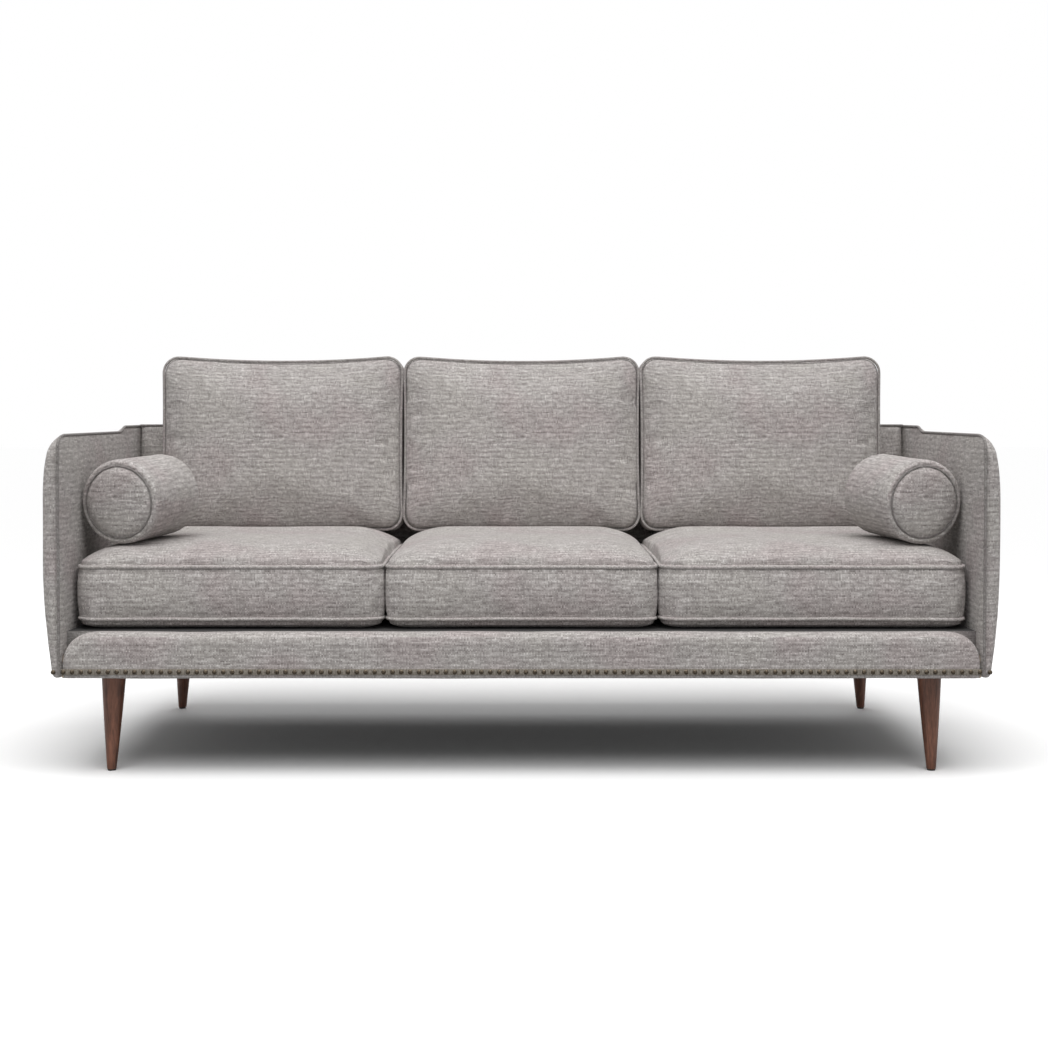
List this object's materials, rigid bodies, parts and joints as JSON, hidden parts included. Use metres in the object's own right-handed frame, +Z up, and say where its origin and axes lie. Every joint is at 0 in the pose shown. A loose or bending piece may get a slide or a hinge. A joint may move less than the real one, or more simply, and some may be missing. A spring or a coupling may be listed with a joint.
{
  "type": "three-seater sofa",
  "caption": "Upholstered sofa with slim rounded arms, boxed loose seat and back cushions, end bolsters, nailhead trim and turned tapered legs.",
  "frame": {"origin": "on the floor under the middle of the sofa (bottom centre of its bounding box)", "axes": "+X along the width, to the right as seen from the front; +Y to the back; +Z up. Left and right in names are as seen from the front."},
  "size_m": [1.992, 0.86, 0.8957],
  "materials": {
    "upholstery": "woven warm grey",
    "leg_wood": "satin walnut stain",
    "frame_timber": "sawn pine",
    "plywood": "sanded birch plywood",
    "foam": "open-cell foam",
    "webbing": "woven elastic",
    "platform_cloth": "plain dark cloth",
    "dust_cloth": "bonded black cloth",
    "zinc_steel": "zinc plated",
    "glide_plastic": "matt",
    "nail_bronze": "antique bronze"
  },
  "bodies": {
    "frame": {"arm_bolts": "zinc_steel", "arm_left": "upholstery", "arm_panel_left": "plywood", "arm_panel_right": "plywood", "arm_right": "upholstery", "back_inside": "upholstery", "back_lower_rails": "frame_timber", "back_outside": "upholstery", "back_post_left": "frame_timber", "back_post_mid_left": "frame_timber", "back_post_mid_right": "frame_timber", "back_post_right": "frame_timber", "back_top_rails": "frame_timber", "back_webbing": "webbing", "corner_blocks": "frame_timber", "cross_rail_left": "frame_timber", "cross_rail_right": "frame_timber", "dust_cover": "dust_cloth", "front_border": "upholstery", "front_rail": "frame_timber", "leg_bolts": "zinc_steel", "leg_front_left": "leg_wood", "leg_front_right": "leg_wood", "leg_glides": "glide_plastic", "leg_plates": "zinc_steel", "leg_rear_left": "leg_wood", "leg_rear_right": "leg_wood", "rear_rail": "frame_timber", "seat_deck": "platform_cloth", "seat_webbing_cross": "webbing", "seat_webbing_long": "webbing", "side_rail_left": "frame_timber", "side_rail_right": "frame_timber"},
    "seat_cushion_left": {"seat_cushion_left": "upholstery", "seat_foam_left": "foam"},
    "seat_cushion_middle": {"seat_cushion_middle": "upholstery", "seat_foam_middle": "foam"},
    "seat_cushion_right": {"seat_cushion_right": "upholstery", "seat_foam_right": "foam"},
    "back_cushion_left": {"back_cushion_left": "upholstery", "back_foam_left": "foam"},
    "back_cushion_middle": {"back_cushion_middle": "upholstery", "back_foam_middle": "foam"},
    "back_cushion_right": {"back_cushion_right": "upholstery", "back_foam_right": "foam"},
    "bolster_left": {"bolster_left": "upholstery", "bolster_core_left": "foam"},
    "bolster_right": {"bolster_right": "upholstery", "bolster_core_right": "foam"}
  },
  "joints": [
    {"name": "seat_left_slide", "type": "slide", "parent": "frame", "child": "seat_cushion_left", "axis": [0, -1, 0], "range_m": [0, 0.62]},
    {"name": "seat_middle_slide", "type": "slide", "parent": "frame", "child": "seat_cushion_middle", "axis": [0, -1, 0], "range_m": [0, 0.62]},
    {"name": "seat_right_slide", "type": "slide", "parent": "frame", "child": "seat_cushion_right", "axis": [0, -1, 0], "range_m": [0, 0.62]},
    {"name": "back_left_lift", "type": "slide", "parent": "frame", "child": "back_cushion_left", "axis": [0, 0.0941, 0.9956], "range_m": [0, 0.45]},
    {"name": "back_middle_lift", "type": "slide", "parent": "frame", "child": "back_cushion_middle", "axis": [0, 0.0941, 0.9956], "range_m": [0, 0.45]},
    {"name": "back_right_lift", "type": "slide", "parent": "frame", "child": "back_cushion_right", "axis": [0, 0.0941, 0.9956], "range_m": [0, 0.45]},
    {"name": "bolster_left_lift", "type": "slide", "parent": "seat_cushion_left", "child": "bolster_left", "axis": [0, 0, 1], "range_m": [0, 0.4]},
    {"name": "bolster_right_lift", "type": "slide", "parent": "seat_cushion_right", "child": "bolster_right", "axis": [0, 0, 1], "range_m": [0, 0.4]}
  ]
}
